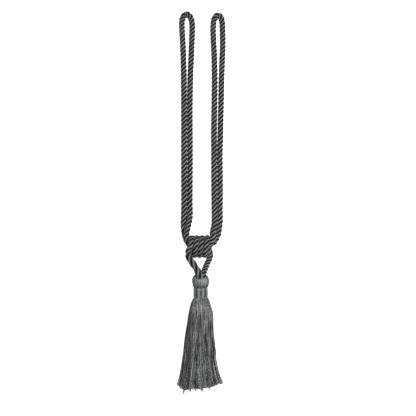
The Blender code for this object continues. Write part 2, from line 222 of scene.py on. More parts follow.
def noise(tree, place, scale, detail=2.0, roughness=0.5, out="Fac", **settings):
    """A Noise Texture's value at a place."""
    return add(tree, "ShaderNodeTexNoise", {
        "Vector": place, "Scale": scale, "Detail": detail, "Roughness": roughness,
    }, out, **settings)


def ranged(tree, value, low, high, to_low=0.0, to_high=1.0):
    """A value held between two limits, and spread between two others."""
    return add(tree, "ShaderNodeMapRange", {
        "Value": value, "From Min": low, "From Max": high, "To Min": to_low, "To Max": to_high})


def capture(tree, geometry, value):
    """Keep a value on a geometry's points. Returns the geometry and the kept value."""
    node = tree.nodes.new("GeometryNodeCaptureAttribute")
    node.capture_items.new("FLOAT", "Kept")
    tree.links.new(geometry, node.inputs[0])
    tree.links.new(value, node.inputs[1])
    return node.outputs[0], node.outputs[1]


def start_tree(name, inputs):
    """A geometry tree with named inputs. Returns the tree and the inputs' sockets."""
    tree = bpy.data.node_groups.new(name, "GeometryNodeTree")
    tree.interface.new_socket("Geometry", in_out="OUTPUT", socket_type="NodeSocketGeometry")
    tree.interface.new_socket("Geometry", in_out="INPUT", socket_type="NodeSocketGeometry")
    for label, kind in inputs.items():
        tree.interface.new_socket(label, in_out="INPUT", socket_type="NodeSocket" + kind)
    return tree, tree.nodes.new("NodeGroupInput").outputs


def shape_of(tree, subject):
    """The geometry of an object."""
    return add(tree, "GeometryNodeObjectInfo", {"Object": subject}, out="Geometry")


def sweep(tree, line, section, around, along):
    """Sweep a section along lines, with a UV map: round the section, and along the line."""
    mesh = add(tree, "GeometryNodeCurveToMesh", {
        "Curve": line, "Profile Curve": section, "Fill Caps": True,
        "Scale": add(tree, "GeometryNodeInputRadius")})
    return add(tree, "GeometryNodeStoreNamedAttribute", {
        "Geometry": mesh, "Name": "UVMap", "Value": joined(tree, around, along),
    }, data_type="FLOAT2", domain="CORNER")


def press_down(tree, geometry, lowest):
    """Flatten what would lie below a height, as a soft thing does on a surface."""
    x, y, z = split(tree, add(tree, "GeometryNodeInputPosition"))
    pressed = joined(tree, x, y, calc(tree, "MAXIMUM", z, lowest))
    return add(tree, "GeometryNodeSetPosition", {"Geometry": geometry, "Position": pressed})


def end_tree(tree, geometry, material):
    """End a tree with Realize Instances, smooth shading and its material."""
    real = add(tree, "GeometryNodeRealizeInstances", {"Geometry": geometry})
    smooth = add(tree, "GeometryNodeSetShadeSmooth", {"Geometry": real})
    dressed = add(tree, "GeometryNodeSetMaterial", {"Geometry": smooth, "Material": material})
    tree.links.new(dressed, tree.nodes.new("NodeGroupOutput").inputs[0])


def grow(name, tree, values):
    """Run a tree once and keep what it makes as a plain mesh at the origin."""
    made = bpy.data.objects.new(name, bpy.data.meshes.new(name))
    bpy.context.collection.objects.link(made)
    modifier = made.modifiers.new(tree.name, "NODES")
    modifier.node_group = tree
    for item in tree.interface.items_tree:
        if item.in_out == "INPUT" and item.name in values:
            modifier[item.identifier] = values[item.name]
    graph = bpy.context.evaluated_depsgraph_get()
    mesh = bpy.data.meshes.new_from_object(made.evaluated_get(graph), depsgraph=graph)
    made.modifiers.remove(modifier)
    made.data = mesh
    return made


def ply_section():
    """The outline of a rope of radius 1: a broad crown for each ply, and grooves between."""
    count = PLIES * PLY_POINTS
    points = []
    for i in range(count + 1):
        from_crown = (i % PLY_POINTS) / PLY_POINTS * 2 - 1
        reach = 1 - GROOVE_DEPTH * abs(from_crown) ** CROWN_BREADTH
        angle = math.tau * i / count
        points.append((reach * math.cos(angle), reach * math.sin(angle), 0.0))
    return guide("ply section", points)


rope_tree, given = start_tree("laid rope", {
    "Path": "Object", "Section": "Object", "Ring spacing": "Float", "Material": "Material",
})
t = rope_tree
laid = add(t, "GeometryNodeResampleCurve", {
    "Curve": shape_of(t, given["Path"]), "Length": given["Ring spacing"]}, mode="LENGTH")
turns = calc(t, "DIVIDE", add(t, "GeometryNodeInputCurveTilt"), math.tau)
laid, along = capture(t, laid, turns)
outline = shape_of(t, given["Section"])
outline, around = capture(t, outline, add(t, "GeometryNodeSplineParameter"))
skin = sweep(t, laid, outline, around, along)
skin = add(t, "GeometryNodeMergeByDistance", {"Geometry": skin, "Distance": SEAM_DISTANCE})
end_tree(t, press_down(t, skin, 0.0), given["Material"])


def start_effect(name, inputs, outputs):
    """A shader node group with named inputs and outputs. Returns it and the inputs' sockets."""
    group = bpy.data.node_groups.new(name, "ShaderNodeTree")
    for label, value in inputs.items():
        socket = group.interface.new_socket(label, in_out="INPUT", socket_type="NodeSocketFloat")
        socket.default_value = value
    for label in outputs:
        group.interface.new_socket(label, in_out="OUTPUT", socket_type="NodeSocketFloat")
    return group, group.nodes.new("NodeGroupInput").outputs


def end_effect(group, outputs):
    """Link a group's results to its outputs."""
    last = group.nodes.new("NodeGroupOutput")
    for label, value in outputs.items():
        group.links.new(value, last.inputs[label])


# Yarns and fibres along a swept line: U goes round it and V along it.
fibre_effect, given = start_effect(
    "spun fibres", {"Ridges": 9.0, "Slant": 1.0, "Fineness": 40.0, "Stretch": 4.0},
    ("Fibre", "Yarn", "Height"))
t = fibre_effect
u, v, _ = split(t, add(t, "ShaderNodeUVMap", uv_map="UVMap"))
slant = calc(t, "MULTIPLY", v, given["Slant"])
phase = calc(t, "ADD", calc(t, "MULTIPLY", u, given["Ridges"]), slant)
ridge = calc(t, "SINE", calc(t, "MULTIPLY", phase, math.tau))
ridge = calc(t, "MULTIPLY_ADD", ridge, 0.5, 0.5)
slanted = calc(t, "ADD", u, calc(t, "DIVIDE", slant, given["Ridges"]))
fibre_place = joined(
    t, calc(t, "MULTIPLY", slanted, given["Fineness"]), calc(t, "MULTIPLY", v, given["Stretch"]))
streaks = noise(t, fibre_place, 1.0, detail=3.0, roughness=0.6)
raised = calc(t, "MULTIPLY", ridge, YARN_RELIEF)
height = calc(t, "MULTIPLY_ADD", streaks, FIBRE_RELIEF, raised)
end_effect(t, {"Fibre": streaks, "Yarn": ridge, "Height": height})


def fibres(tree, **values):
    """Place the fibre effect in a material with values of its own. Returns its outputs."""
    effect = tree.nodes.new("ShaderNodeGroup")
    effect.node_tree = fibre_effect
    for label, value in values.items():
        effect.inputs[label].default_value = value
    return effect.outputs


def start_material(name):
    """A new material. Returns it, its tree and its shader."""
    material = bpy.data.materials.new(name)
    material.use_nodes = True
    return material, material.node_tree, material.node_tree.nodes["Principled BSDF"]


def paint(tree, shader, share, dark, bright):
    """Colour a surface between a dark and a bright tone."""
    colour = add(tree, "ShaderNodeMix", {
        0: share, 6: (*dark, 1.0), 7: (*bright, 1.0)}, out=2, data_type="RGBA")
    tree.links.new(colour, shader.inputs["Base Color"])


def emboss(tree, shader, height, strength, depth):
    """Raise a surface by a height."""
    bump = add(tree, "ShaderNodeBump", {
        "Strength": strength, "Distance": depth, "Height": height})
    tree.links.new(bump, shader.inputs["Normal"])


def rope_finish(name, painted_groove_shade, crown_colour):
    """Dyed satin yarn in a laid rope, with painted shade in the grooves and the crowns painted
    lighter, bright fibres on them.
    """
    material, tree, shader = start_material(name)
    effect = fibres(
        tree, Ridges=PLIES * YARNS_IN_PLY, Slant=YARN_SLANT, Fineness=70.0, Stretch=5.0)
    around, _, _ = split(tree, add(tree, "ShaderNodeUVMap", uv_map="UVMap"))
    # Painted shade and light: each ply is painted near black in its grooves and lighter on its
    # crown.
    ply = calc(tree, "FRACT", calc(tree, "MULTIPLY", around, float(PLIES)))
    crown = calc(tree, "SINE", calc(tree, "MULTIPLY", ply, math.pi))
    crown = calc(tree, "POWER", crown, CROWN_SHARPNESS)
    shine = ranged(tree, effect["Fibre"], *NOISE_SPAN, *FIBRE_SHINE)
    yarn_shine = calc(tree, "MULTIPLY_ADD", effect["Yarn"], YARN_SHINE, LEAST_SHINE)
    shine = calc(tree, "MULTIPLY", shine, yarn_shine)
    patches = noise(tree, add(tree, "ShaderNodeTexCoord", out="Object"), PATCH_SCALE)
    patches = ranged(tree, patches, *NOISE_SPAN, *PATCH_SHINE)
    light = calc(tree, "MULTIPLY", calc(tree, "MULTIPLY", crown, shine), patches)
    paint(tree, shader, light, painted_groove_shade, crown_colour)
    rough = ranged(tree, light, 0.0, 1.0, GROOVE_ROUGHNESS, CROWN_ROUGHNESS)
    tree.links.new(rough, shader.inputs["Roughness"])
    shader.inputs["Specular IOR Level"].default_value = ROPE_SPECULAR
    emboss(tree, shader, effect["Height"], ROPE_BUMP, FIBRE_DEPTH)
    return material


section = ply_section()
ring_route = smooth_route(
    [(x, y, LYING_HEIGHT) for x, y in LEFT_LOOP] + list(INNER_CROSSING)
    + [(x, y, LYING_HEIGHT) for x, y in RIGHT_LOOP] + list(OUTER_CROSSING), closed=True)
# The line is declared from inside the barrel, once round and just past its own start.
barrel_start = ROUTE_STEPS * (len(LEFT_LOOP) + len(INNER_CROSSING) // 2)
ring_route = ring_route[barrel_start:] + ring_route[:barrel_start + RING_OVERLAP]
loop_top = max(p.y for p in ring_route)
ring_radii = []
ring_lays = []
for p in ring_route:
    bight = BIGHT_SWELL * max(0.0, 1 - (loop_top - p.y) / BIGHT_REACH)
    arm = ARM_SWELL * max(0.0, 1 - abs(p.y - ARM_SWELL_Y) / ARM_SWELL_REACH)
    up_the_loop = min(max(p.y / loop_top, 0.0), 1.0)
    ring_radii.append(ROPE_RADIUS * (1 + bight + arm))
    ring_lays.append(BARREL_LAY + (TOP_LAY - BARREL_LAY) * up_the_loop)
# Both ends close to a point, each inside the other's rope.
ring_radii[0] = ring_radii[-1] = 0.0
ring_guide = guide("rope ring path", ring_route, ring_radii, ring_lays)
rope_ring = grow("laid_rope_ring", rope_tree, {
    "Path": ring_guide, "Section": section, "Ring spacing": RING_SPACING,
    "Material": rope_finish("charcoal rope yarn", PAINTED_GROOVE_SHADE, ROPE_COLOUR),
})
rope_ring.data.set_sharp_from_angle(angle=CREASE_ANGLE)
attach(rope_ring, "root")
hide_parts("rope_ring")

# ---- The hanger cord: a softer four-ply cord. Its left leg rises from the tassel's head to
# the front of the barrel, goes round the rope ring in four front runs, and its right leg
# comes from the back of the barrel down to the head.
LEFT_LEG_RADIUS = 0.0042
RIGHT_LEG_RADIUS = 0.0039
WRAP_RADIUS = 0.0038
LEFT_LEG_LAY = 0.0450
RIGHT_LEG_LAY = 0.0186
WRAP_LAY = 0.0195
BARREL_X = -0.00199
BARREL_Y = -0.0532
BARREL_HEIGHT = 0.01335
WRAP_CENTRE_RADIUS = 0.0102
WRAP_PITCH = 0.0061
WRAP_TURNS = 3.5
FRONT_OF_BARREL = -0.25
POINTS_PER_TURN = 16
WOUND_WITHIN = 0.004
CORD_COLOUR = (0.190, 0.191, 0.195)
LEFT_LEG = (
    # x, y, z: from inside the head up to the front of the barrel
    (-0.0008, -0.0955, 0.0120), (-0.0013, -0.0915, 0.0156), (-0.0027, -0.0868, 0.0170),
    (-0.0048, -0.0808, 0.0174), (-0.0087, -0.0747, 0.0183), (-0.0122, -0.0696, 0.0197),
    (-0.0147, -0.0647, 0.0213), (-0.0151, -0.0597, 0.0228), (-0.0141, -0.0560, 0.0233),
)
RIGHT_LEG = (
    # x, y, z: from the back of the barrel down into the head
    (0.0102, -0.0585, 0.0038), (0.0111, -0.0635, 0.0038), (0.0101, -0.0684, 0.0042),
    (0.0079, -0.0730, 0.0053), (0.0059, -0.0777, 0.0075), (0.0043, -0.0820, 0.0106),
    (0.0030, -0.0864, 0.0142), (0.0018, -0.0900, 0.0152), (0.0007, -0.0935, 0.0120),
)


def wrap_point(turns):
    """A point on the wraps' centre line, in turns after the first crest at +Y."""
    angle = -math.tau * turns
    return (
        BARREL_X + WRAP_PITCH * (turns - (WRAP_TURNS - 0.5) / 2),
        BARREL_Y + WRAP_CENTRE_RADIUS * math.cos(angle),
        BARREL_HEIGHT + WRAP_CENTRE_RADIUS * math.sin(angle),
    )


wrap_steps = round(WRAP_TURNS * POINTS_PER_TURN)
wraps = [wrap_point(FRONT_OF_BARREL + WRAP_TURNS * i / wrap_steps) for i in range(wrap_steps + 1)]
cord_route = smooth_route(list(LEFT_LEG) + wraps + list(RIGHT_LEG), closed=False)
cord_radii = []
cord_lays = []
for i, p in enumerate(cord_route):
    off = abs(math.hypot(p.y - BARREL_Y, p.z - BARREL_HEIGHT) - WRAP_CENTRE_RADIUS)
    wound = max(0.0, 1 - off / WOUND_WITHIN)
    on_left = i < len(cord_route) / 2
    leg_radius = LEFT_LEG_RADIUS if on_left else RIGHT_LEG_RADIUS
    leg_lay = LEFT_LEG_LAY if on_left else RIGHT_LEG_LAY
    cord_radii.append(leg_radius + (WRAP_RADIUS - leg_radius) * wound)
    cord_lays.append(leg_lay + (WRAP_LAY - leg_lay) * wound)
# Both ends close to a point inside the tassel's head.
cord_radii[0] = cord_radii[-1] = 0.0
cord_guide = guide("hanger cord path", cord_route, cord_radii, cord_lays)
hanger_cord = grow("laid_hanger_cord", rope_tree, {
    "Path": cord_guide, "Section": section, "Ring spacing": RING_SPACING,
    "Material": rope_finish("charcoal cord yarn", PAINTED_GROOVE_SHADE, CORD_COLOUR),
})
hanger_cord.data.set_sharp_from_angle(angle=CREASE_ANGLE)
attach(hanger_cord, "root")
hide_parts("hanger_cord")

# ---- The tassel's core: the bundle of yarn ends that fills the head and the neck, under
# the folded yarns that show. It is a turned body, hollow at the top for the cord's ends.
TASSEL_X = -0.0005
TASSEL_Z = 0.0092
HEAD_TOP_Y = -0.0869
CORE_SIDES = 48
HEAD_PROFILE = (
    # distance from the top of the head, radius: up inside the hollow, over, and down
    (0.0054, 0.0045), (0.0028, 0.0048), (0.0010, 0.0052), (0.0003, 0.0059),
    (0.0006, 0.0068), (0.0013, 0.0080), (0.0025, 0.0091), (0.0042, 0.0099),
    (0.0064, 0.0104), (0.0085, 0.0104), (0.0110, 0.0100), (0.0130, 0.0094),
    (0.0146, 0.0088), (0.0158, 0.0082), (0.0275, 0.0070),
)
YARN_THICKNESS = 0.0005
STREAK_SCALE = 2200.0
STREAK_STRETCH = (1.0, 0.05, 1.0)
CORE_DARK = (0.02, 0.02, 0.021)
CORE_BRIGHT = (0.08, 0.081, 0.083)
CORE_ROUGHNESS = 0.6
CORE_BUMP = 0.6


def turned(name, profile, sides, material):
    """A closed turned body on the tassel's axis, from (distance from the top, radius)."""
    bm = bmesh.new()
    rings = []
    for along, radius in profile:
        ring = []
        for i in range(sides):
            angle = math.tau * i / sides
            x = TASSEL_X + radius * math.cos(angle)
            z = max(YARN_THICKNESS, TASSEL_Z + radius * math.sin(angle))
            ring.append(bm.verts.new((x, HEAD_TOP_Y - along, z)))
        rings.append(ring)
    for lower, upper in zip(rings, rings[1:]):
        for i in range(sides):
            j = (i + 1) % sides
            bm.faces.new((lower[i], lower[j], upper[j], upper[i]))
    bm.faces.new(rings[0])
    bm.faces.new(rings[-1])
    bmesh.ops.recalc_face_normals(bm, faces=bm.faces[:])
    mesh = bpy.data.meshes.new(name)
    bm.to_mesh(mesh)
    bm.free()
    mesh.shade_smooth()
    mesh.set_sharp_from_angle(angle=CREASE_ANGLE)
    mesh.materials.append(material)
    made = bpy.data.objects.new(name, mesh)
    bpy.context.collection.objects.link(made)
    return made


def plain_yarn(name, dark, bright, roughness):
    """Bundled yarn ends: fine streaks along the tassel between a dark and a bright tone."""
    material, tree, shader = start_material(name)
    stretched = add(tree, "ShaderNodeMapping", {
        "Vector": add(tree, "ShaderNodeTexCoord", out="Object"), "Scale": STREAK_STRETCH})
    streaks = ranged(tree, noise(tree, stretched, STREAK_SCALE), *NOISE_SPAN)
    paint(tree, shader, streaks, dark, bright)
    shader.inputs["Roughness"].default_value = roughness
    emboss(tree, shader, streaks, CORE_BUMP, FIBRE_DEPTH)
    return material


core_profile = [(along, radius - YARN_THICKNESS) for along, radius in HEAD_PROFILE]
tassel_core = turned(
    "tassel_core", core_profile, CORE_SIDES,
    plain_yarn("core yarn", CORE_DARK, CORE_BRIGHT, CORE_ROUGHNESS))
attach(tassel_core, "root")

# ---- The tassel's head: satin yarns folded down over the cord's ends, side by side, and
# drawn in to the neck, where they gather in soft folds.
HEAD_YARNS = 170
HEAD_YARN_RADIUS = 0.00028
HEAD_YARN_SIDES = 5
HEAD_STEPS = 36
HEAD_SEED = 5
YARN_JITTER = 0.3
FOLD_DEPTH = 0.0022
FOLDS = 10.0
EVEN_FOLDS = 0.13
FOLD_SCALE = 260.0
FOLD_STRETCH = (1.0, 0.25, 1.0)
FOLD_LINE = (
    # share of the way from inside the hollow to the neck's end, share of the fold's depth, tone
    # with painted shade under the cord's legs and where the head turns in, and a painted highlight
    # across the middle
    (0.00, 0.00, -0.35), (0.16, 0.05, -0.35), (0.26, 0.10, -0.20), (0.33, 0.20, 0.02),
    (0.39, 0.30, 0.10), (0.45, 0.50, 0.12), (0.52, 0.80, 0.04), (0.58, 0.95, -0.22),
    (0.62, 1.00, -0.42), (0.67, 0.10, -0.50), (1.00, 0.00, -0.50),
)
SWAY = 0.20
SWAY_SCALE = 170.0
ALONG_TASSEL = (0.0, 1.0, 0.0)
YARNS_IN_BUNDLE = 4.0
HEAD_YARN_TONES = (0.05, 0.5)
BUNDLE_TONES = (-0.42, 0.40)
FOLD_PAINTED_LIGHT_AND_SHADE = 0.15
PAINTED_SIDE_SHADE = -0.35
EDGE_SHARPNESS = 4.0
OWN_TONE = 0.75
FIBRE_TONE = 0.3
SATIN_DEPTH = 0.00005
SATIN_BUMP = 0.35
SATIN_DARK = (0.006, 0.0061, 0.0064)
HEAD_BRIGHT = (0.27, 0.272, 0.276)
HEAD_ROUGHNESS = 0.42


def table_curve(tree, value, rows, column, handles="AUTO"):
    """Read a column of a table at a value of its first column, along a smooth or bent line."""
    keys = [row[0] for row in rows]
    values = [row[column] for row in rows]
    low = min(values)
    span = max(values) - low or 1.0
    node = tree.nodes.new("ShaderNodeFloatCurve")
    line = node.mapping.curves[0]
    line.points[0].location = (keys[0], (values[0] - low) / span)
    line.points[1].location = (keys[-1], (values[-1] - low) / span)
    for key, height in list(zip(keys, values))[1:-1]:
        line.points.new(key, (height - low) / span)
    for point in line.points:
        point.handle_type = handles
    node.mapping.update()
    tree.links.new(value, node.inputs["Value"])
    return calc(tree, "MULTIPLY_ADD", node.outputs[0], span, low)


def chance(tree, number, seed, low=0.0, high=1.0):
    """A random value that goes with a whole number. Each draw has a seed of its own."""
    return add(tree, "FunctionNodeRandomValue", {2: low, 3: high, 7: number, 8: seed}, out=1)


def vector_calc(tree, operation, *values):
    """A Vector Math node's result."""
    return add(tree, "ShaderNodeVectorMath", dict(enumerate(values)), operation=operation)


def scaled(tree, vector, factor):
    """A vector made longer or shorter by a factor."""
    return add(
        tree, "ShaderNodeVectorMath", {0: vector, "Scale": factor}, operation="SCALE")


def away_from(tree, axis, spot, distance):
    """The step that takes a spot a distance out from an axis through the origin."""
    across_axis = tuple(1.0 - part for part in axis)
    outward = vector_calc(tree, "MULTIPLY", spot, across_axis)
    return scaled(tree, vector_calc(tree, "NORMALIZE", outward), distance)


def at_edge(tree, side):
    """Near nought over most of a width from -1 to 1, and 1 at both of its edges."""
    return calc(tree, "POWER", calc(tree, "ABSOLUTE", side), EDGE_SHARPNESS)


def spin(tree, lines, radius, tone, sides, material):
    """End a tree with round yarns along its lines, each point's tone, painted shade and light
    included, kept for the material.
    """
    lines = add(tree, "GeometryNodeSetCurveRadius", {"Curve": lines, "Radius": radius})
    lines = add(tree, "GeometryNodeStoreNamedAttribute", {
        "Geometry": lines, "Name": "shade", "Value": tone,
    }, data_type="FLOAT", domain="POINT")
    lines, along = capture(tree, lines, add(tree, "GeometryNodeSplineParameter"))
    ring = add(tree, "GeometryNodeCurvePrimitiveCircle", {"Resolution": sides, "Radius": 1.0})
    ring, around = capture(tree, ring, add(tree, "GeometryNodeSplineParameter"))
    end_tree(tree, sweep(tree, lines, ring, around, along), material)


head_tree, given = start_tree("folded yarns", {
    "Meridian": "Object", "Yarns": "Int", "Yarn radius": "Float", "Steps": "Int",
    "Fold depth": "Float", "Sway": "Float", "Seed": "Int", "Material": "Material",
})
t = head_tree
meridian = add(t, "GeometryNodeResampleCurve", {
    "Curve": shape_of(t, given["Meridian"]), "Count": given["Steps"]}, mode="COUNT")
place = add(t, "GeometryNodeInputIndex")
turn = calc(t, "ADD", place, chance(t, place, given["Seed"], -YARN_JITTER, YARN_JITTER))
turn = calc(t, "MULTIPLY", calc(t, "DIVIDE", turn, given["Yarns"]), math.tau)
yarns = add(t, "GeometryNodeInstanceOnPoints", {
    "Points": add(t, "GeometryNodePoints", {"Count": given["Yarns"]}), "Instance": meridian,
    "Rotation": add(t, "FunctionNodeAxisAngleToRotation", {"Axis": ALONG_TASSEL, "Angle": turn})})
yarns = add(t, "GeometryNodeRealizeInstances", {"Geometry": yarns})

# Folds, even ones and chance ones, where the yarns are drawn in, and a sway round the head.
spot = add(t, "GeometryNodeInputPosition")
down = add(t, "GeometryNodeSplineParameter")
x, _, z = split(t, spot)
round_head = calc(t, "ARCTAN2", x, z)
even = calc(t, "COSINE", calc(t, "MULTIPLY", round_head, FOLDS))
broad = noise(t, vector_calc(t, "MULTIPLY", spot, FOLD_STRETCH), FOLD_SCALE)
fold = calc(t, "MULTIPLY_ADD", even, EVEN_FOLDS, calc(t, "SUBTRACT", broad, 0.5))
gather = table_curve(t, down, FOLD_LINE, 1)
fold = calc(t, "MULTIPLY", calc(t, "MULTIPLY", fold, given["Fold depth"]), gather)
drift = calc(t, "SUBTRACT", noise(t, spot, SWAY_SCALE, detail=1.0), 0.5)
swayed = add(t, "ShaderNodeVectorRotate", {
    "Vector": vector_calc(t, "ADD", spot, away_from(t, ALONG_TASSEL, spot, fold)),
    "Axis": ALONG_TASSEL, "Angle": calc(t, "MULTIPLY", drift, given["Sway"]),
}, rotation_type="AXIS_ANGLE")
yarns, crest = capture(t, yarns, calc(t, "MULTIPLY", even, gather))
yarns, turned_away = capture(t, yarns, at_edge(t, calc(t, "SINE", round_head)))
yarns = add(t, "GeometryNodeSetPosition", {"Geometry": yarns, "Position": swayed})
yarns = add(t, "GeometryNodeTransform", {
    "Geometry": yarns, "Translation": (TASSEL_X, HEAD_TOP_Y, TASSEL_Z)})
yarns = press_down(t, yarns, given["Yarn radius"])

# Tone: of the yarn and of its bundle at random, painted shade and light down the head and on the
# folds, and painted shade at both sides.
number = add(t, "GeometryNodeCurveOfPoint")
bundle = calc(t, "FLOOR", calc(t, "DIVIDE", number, YARNS_IN_BUNDLE))
tone = calc(t, "ADD", chance(t, number, 3, *HEAD_YARN_TONES), chance(t, bundle, 4, *BUNDLE_TONES))
# Painted shade at the head's top and bottom, and a painted highlight across its middle.
tone = calc(t, "ADD", tone, table_curve(t, down, FOLD_LINE, 2))
# Painted light on the fold crests, and painted shade in the hollows between them.
tone = calc(t, "MULTIPLY_ADD", crest, FOLD_PAINTED_LIGHT_AND_SHADE, tone)
# Painted shade at both sides of the head, where it turns away from the light.
tone = calc(t, "MULTIPLY_ADD", turned_away, PAINTED_SIDE_SHADE, tone)
tone = calc(t, "MAXIMUM", tone, 0.0)
spin(t, yarns, given["Yarn radius"], tone, HEAD_YARN_SIDES, given["Material"])


def satin_yarn(name, dark, bright, roughness):
    """Loose silky yarn: each has its own tone, painted shade and light included, with streaks of
    fibre along it.
    """
    material, tree, shader = start_material(name)
    # The kept tone holds the painted shade and light of the head, binding and skirt.
    own = add(tree, "ShaderNodeAttribute", out="Fac", attribute_name="shade")
    effect = fibres(tree, Ridges=2.0, Slant=30.0, Fineness=6.0, Stretch=14.0)
    mixed = calc(
        tree, "MULTIPLY_ADD", own, OWN_TONE, calc(tree, "MULTIPLY", effect["Fibre"], FIBRE_TONE))
    paint(tree, shader, mixed, dark, bright)
    shader.inputs["Roughness"].default_value = roughness
    emboss(tree, shader, effect["Height"], SATIN_BUMP, SATIN_DEPTH)
    return material


meridian_guide = guide(
    "head meridian",
    smooth_route([(r - HEAD_YARN_RADIUS, -along, 0.0) for along, r in HEAD_PROFILE], closed=False))
tassel_head = grow("tassel_head_yarns", head_tree, {
    "Meridian": meridian_guide, "Yarns": HEAD_YARNS, "Yarn radius": HEAD_YARN_RADIUS,
    "Steps": HEAD_STEPS, "Fold depth": FOLD_DEPTH, "Sway": SWAY, "Seed": HEAD_SEED,
    "Material": satin_yarn("head satin yarn", SATIN_DARK, HEAD_BRIGHT, HEAD_ROUGHNESS),
})
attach(tassel_head, "root")
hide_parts("tassel")

# ---- The neck binding: one fine satin thread wound close round the neck, from under the
# head to the roots of the skirt. The bundles of yarn under it raise soft ridges in it.
BINDING_TOP = 0.0163
BINDING_LENGTH = 0.0110
BINDING_RADIUS = 0.0081
BINDING_TURNS = 26.0
POINTS_IN_TURN = 44
THREAD_RADIUS = 0.00022
THREAD_SIDES = 7
NECK_RIDGES = 9.0
RIDGE_HEIGHT = 0.0006
UNEVENNESS = 0.00016
UNEVEN_SCALE = 500.0
MOTTLE_SCALE = 900.0
SPIRAL_AXIS = (0.0, 0.0, 1.0)
HEAD_SHEEN_REACH = 0.0022
THREAD_TONE = 0.14
MOTTLE_TONE = 0.5
RIDGE_PAINTED_LIGHT_AND_SHADE = 0.48
NEAR_HEAD_PAINTED_HIGHLIGHT = 0.35
NECK_PAINTED_SIDE_SHADE = -0.25
THREAD_BRIGHT = (0.215, 0.217, 0.221)
THREAD_ROUGHNESS = 0.36

binding_tree, given = start_tree("wound thread", {
    "Turns": "Float", "Radius": "Float", "Length": "Float", "Thread radius": "Float",
    "Unevenness": "Float", "Ridges": "Float", "Ridge height": "Float", "Material": "Material",
})
t = binding_tree
winding = add(t, "GeometryNodeCurveSpiral", {
    "Resolution": POINTS_IN_TURN, "Rotations": given["Turns"], "Start Radius": given["Radius"],
    "End Radius": given["Radius"], "Height": given["Length"]})
spot = add(t, "GeometryNodeInputPosition")
uneven = vector_calc(t, "SUBTRACT", noise(t, spot, UNEVEN_SCALE, out="Color"), (0.5, 0.5, 0.5))
uneven = scaled(t, uneven, given["Unevenness"])
winding = add(t, "GeometryNodeSetPosition", {"Geometry": winding, "Offset": uneven})

# Tone: mottled at random, a painted highlight on the ridges with painted shade between them, a
# painted highlight just under the head, and painted shade at both sides.
x, y, z = split(t, spot)
round_neck = calc(t, "ARCTAN2", x, y)
ridge = calc(t, "COSINE", calc(t, "MULTIPLY_ADD", round_neck, given["Ridges"], math.pi))
tone = calc(t, "MULTIPLY_ADD", noise(t, spot, MOTTLE_SCALE), MOTTLE_TONE, THREAD_TONE)
# Painted highlight on the ridges, and painted shade in the grooves between them.
tone = calc(t, "MULTIPLY_ADD", ridge, RIDGE_PAINTED_LIGHT_AND_SHADE, tone)
# Painted highlight on the first turns, just under the head.
near_head = calc(t, "MULTIPLY_ADD", z, -1 / HEAD_SHEEN_REACH, 1.0)
near_head = calc(t, "MAXIMUM", near_head, 0.0)
tone = calc(t, "MULTIPLY_ADD", near_head, NEAR_HEAD_PAINTED_HIGHLIGHT, tone)
sideways = at_edge(t, calc(t, "SINE", round_neck))
# Painted shade at both sides of the neck.
tone = calc(t, "MULTIPLY_ADD", sideways, NECK_PAINTED_SIDE_SHADE, tone)
winding, tone = capture(t, winding, tone)
raised = calc(t, "MULTIPLY", ridge, given["Ridge height"])
winding = add(t, "GeometryNodeSetPosition", {
    "Geometry": winding, "Offset": away_from(t, SPIRAL_AXIS, spot, raised)})
winding = add(t, "GeometryNodeTransform", {
    "Geometry": winding, "Translation": (TASSEL_X, HEAD_TOP_Y - BINDING_TOP, TASSEL_Z),
    "Rotation": (math.pi / 2, 0.0, 0.0)})
spin(t, winding, given["Thread radius"], tone, THREAD_SIDES, given["Material"])

neck_binding = grow("neck_binding_thread", binding_tree, {
    "Turns": BINDING_TURNS, "Radius": BINDING_RADIUS, "Length": BINDING_LENGTH,
    "Thread radius": THREAD_RADIUS, "Unevenness": UNEVENNESS, "Ridges": NECK_RIDGES,
    "Ridge height": RIDGE_HEIGHT,
    "Material": satin_yarn("binding thread", SATIN_DARK, THREAD_BRIGHT, THREAD_ROUGHNESS),
})
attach(neck_binding, "root")
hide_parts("neck_binding")

# ---- The skirt: silky yarns that hang from under the binding, gather in loose locks and lie
# down on the surface. It is round at the neck and flattens as it fans out to the hem.
SKIRT_TOP = 0.0262
SKIRT_YARNS = 1300
SKIRT_POINTS = 21
SKIRT_YARN_RADIUS = 0.00029
SKIRT_YARN_SIDES = 3
YARN_SIZES = (0.75, 1.25)
BEND_SHIFTS = (0.8, 1.4)
SKIRT_STATIONS = (
    # share of the length, half width, middle, lowest height, height, roundness
    (0.000, 0.0076, 0.0003, 0.0018, 0.0146, 1.0),
    (0.036, 0.0101, 0.0001, 0.0004, 0.0170, 0.9),
    (0.087, 0.0123, 0.0000, 0.0003, 0.0184, 0.65),
    (0.197, 0.0154, 0.0002, 0.0003, 0.0187, 0.4),
    (0.328, 0.0167, -0.0006, 0.0003, 0.0170, 0.25),
    (0.470, 0.0182, -0.0014, 0.0003, 0.0150, 0.1),
    (0.622, 0.0197, -0.0014, 0.0003, 0.0130, 0.0),
    (0.764, 0.0214, -0.0019, 0.0003, 0.0112, 0.0),
    (0.913, 0.0248, -0.0015, 0.0003, 0.0096, 0.0),
    (1.000, 0.0282, -0.0012, 0.0003, 0.0088, 0.0),
)
# The columns of that table.
HALF_WIDTH, MIDDLE, LOWEST, HEIGHT, ROUNDNESS = range(1, 6)
TOP_NARROWING = 0.72

# Locks: a grid of them across and up the skirt, each with its own place in its cell.
LOCK_COLUMNS = 34.0
LOCK_ROWS = 6.0
ROW_SHIFT = 0.37
ROW_NUMBERS = 40.0
CELL_PLACES = (0.1, 0.9)
LOCK_PULL = 0.86
PULL_BEND = 0.8

